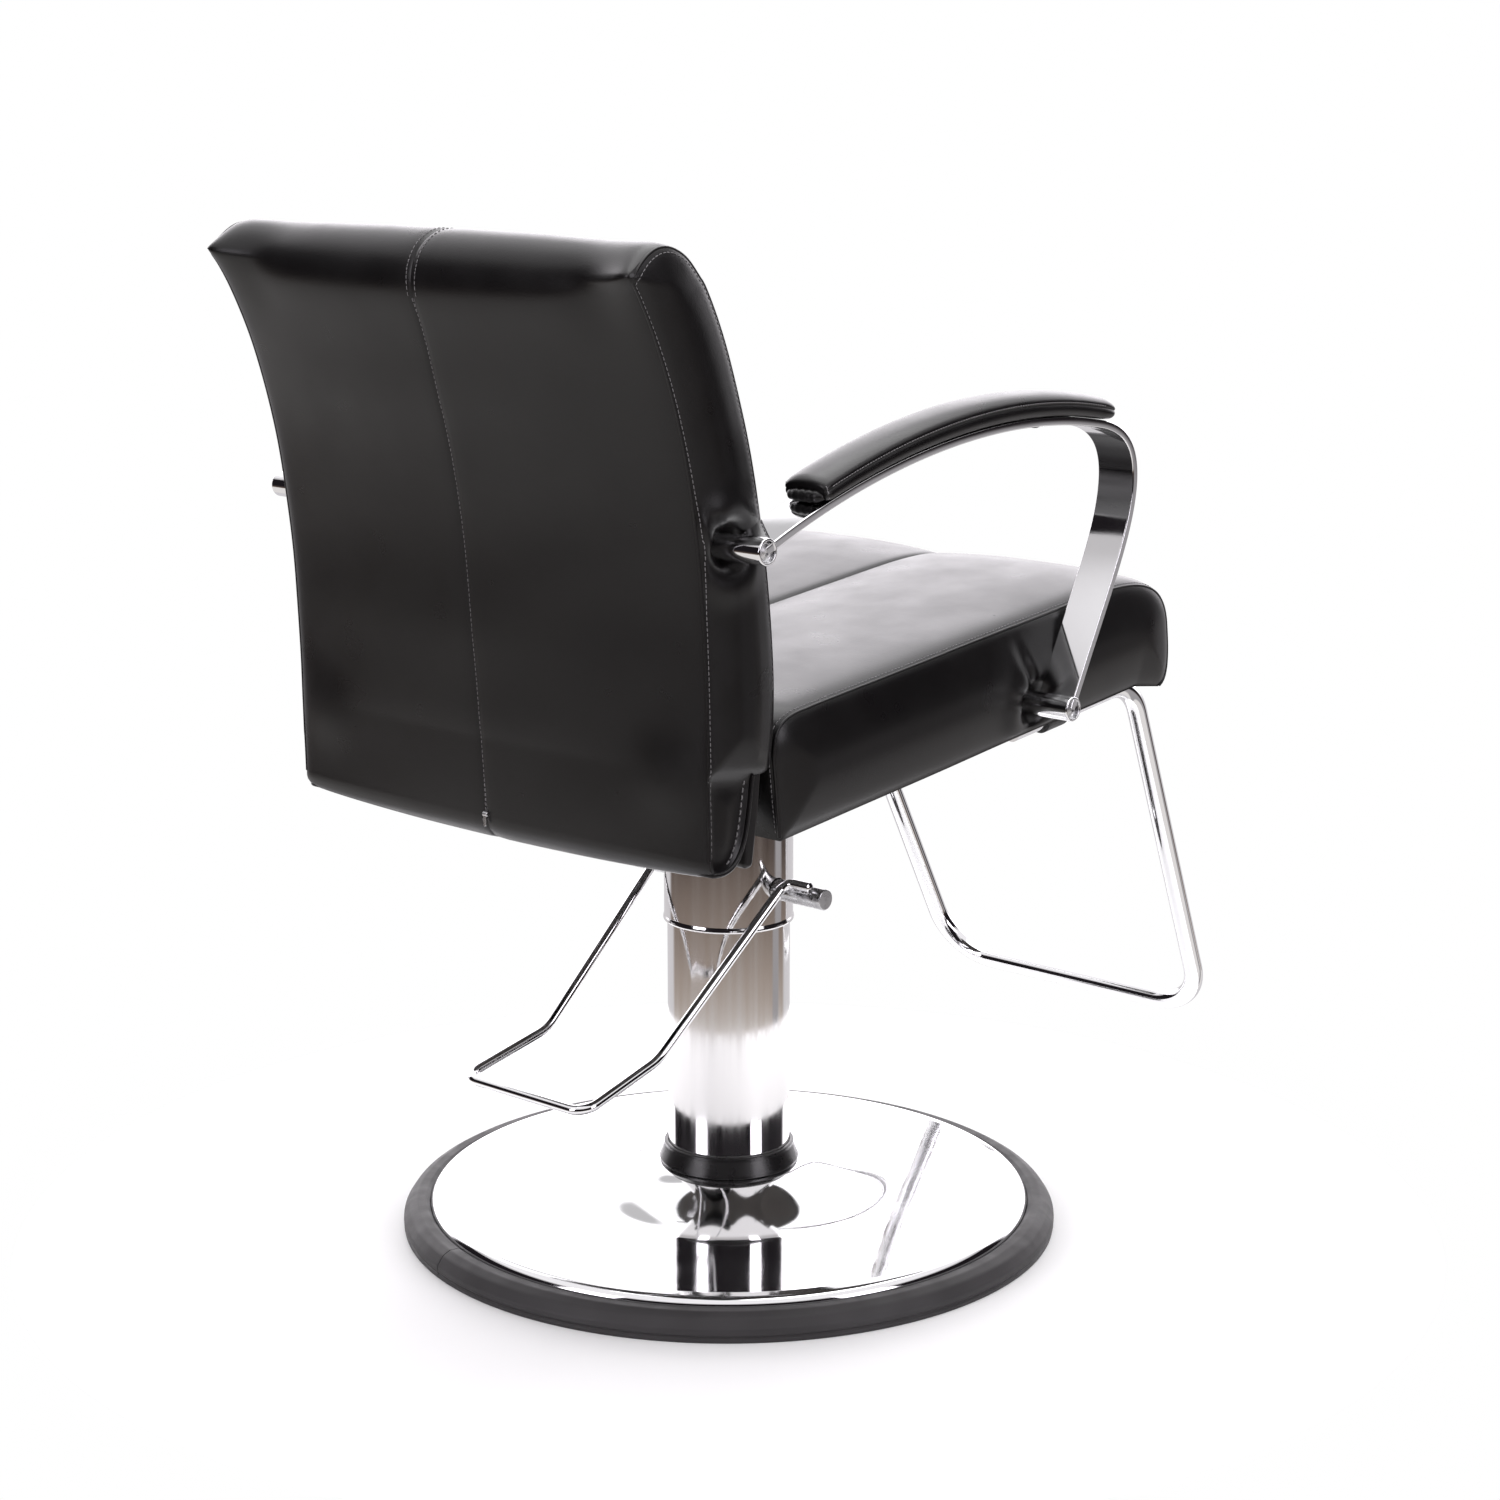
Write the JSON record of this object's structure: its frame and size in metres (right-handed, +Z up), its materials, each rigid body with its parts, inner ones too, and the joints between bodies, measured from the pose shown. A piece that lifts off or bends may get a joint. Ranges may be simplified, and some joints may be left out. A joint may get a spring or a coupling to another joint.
{
  "type": "salon styling chair",
  "caption": "Salon styling chair with a round chrome base, hydraulic column with a foot pedal, boxed black seat and back, curved flat-bar arms and a tube footrest.",
  "frame": {"origin": "centre of the round base on the floor plane, on the column axis", "axes": "+Z up along the column; the front of the chair and the footrest face -Y; the sitter's left is +X"},
  "size_m": [0.61, 0.9498, 0.93],
  "materials": {
    "chrome": "polished",
    "rubber": "matte",
    "cast_iron": "matte",
    "nylon": "satin",
    "black_paint": "satin",
    "plywood": "matte",
    "vinyl": "satin",
    "steel": "satin"
  },
  "bodies": {
    "base": {"base_plate": "cast_iron", "base_dish": "chrome", "bumper_ring": "rubber", "pump_flange": "cast_iron", "flange_bolt_1": "steel", "flange_bolt_2": "steel", "flange_bolt_3": "steel", "flange_bolt_4": "steel", "lower_cover": "chrome", "cover_boot": "rubber", "guide_ring": "nylon", "piston_rod": "steel"},
    "lift": {"pump_cylinder": "chrome", "gland_bush": "nylon", "bearing_lower_race": "steel"},
    "seat": {"arm_bar_left": "chrome", "arm_bar_right": "chrome", "arm_bolt_front_left": "steel", "arm_bolt_front_right": "steel", "arm_bolt_rear_left": "steel", "arm_bolt_rear_right": "steel", "arm_pad_left": "vinyl", "arm_pad_right": "vinyl", "back_board": "plywood", "back_front_pad": "vinyl", "back_rear_pad": "vinyl", "back_strap_left": "black_paint", "back_strap_right": "black_paint", "bearing_upper_race": "steel", "clamp_bolt_1_left": "steel", "clamp_bolt_1_right": "steel", "clamp_bolt_2_left": "steel", "clamp_bolt_2_right": "steel", "footrest": "chrome", "footrest_clamp_left": "black_paint", "footrest_clamp_right": "black_paint", "mount_bolt_1": "steel", "mount_bolt_2": "steel", "mount_bolt_3": "steel", "mount_bolt_4": "steel", "pad_screw_1_left": "steel", "pad_screw_1_right": "steel", "pad_screw_2_left": "steel", "pad_screw_2_right": "steel", "pump_head": "cast_iron", "seat_board": "plywood", "seat_cushion": "vinyl", "seat_mount": "black_paint", "strap_bolt_back_left": "steel", "strap_bolt_back_right": "steel", "strap_bolt_seat_left": "steel", "strap_bolt_seat_right": "steel", "upper_cover": "chrome", "zip_pull": "steel"},
    "pedal": {"pedal_rod": "steel", "pedal_bail": "chrome"},
    "plunger": {"pump_plunger": "steel"}
  },
  "joints": [
    {"name": "column_lift", "type": "slide", "parent": "base", "child": "lift", "axis": [0, 0, 1], "range_m": [0, 0.13]},
    {"name": "seat_swivel", "type": "hinge", "parent": "lift", "child": "seat", "pos_m": [0, 0, 0.304], "axis": [0, 0, 1], "continuous": true},
    {"name": "pedal_press", "type": "hinge", "parent": "seat", "child": "pedal", "pos_m": [0, 0, 0.328], "axis": [1, 0, 0], "range_deg": [-22, 0], "stiffness_Nm_per_rad": 6, "springref_deg": 20.05},
    {"name": "plunger_stroke", "type": "slide", "parent": "seat", "child": "plunger", "axis": [0, 0, 1], "range_m": [0, 0.0086]}
  ],
  "couplings": [
    {"joint": "plunger_stroke", "follows": "pedal_press", "m_per_rad": -0.022}
  ]
}
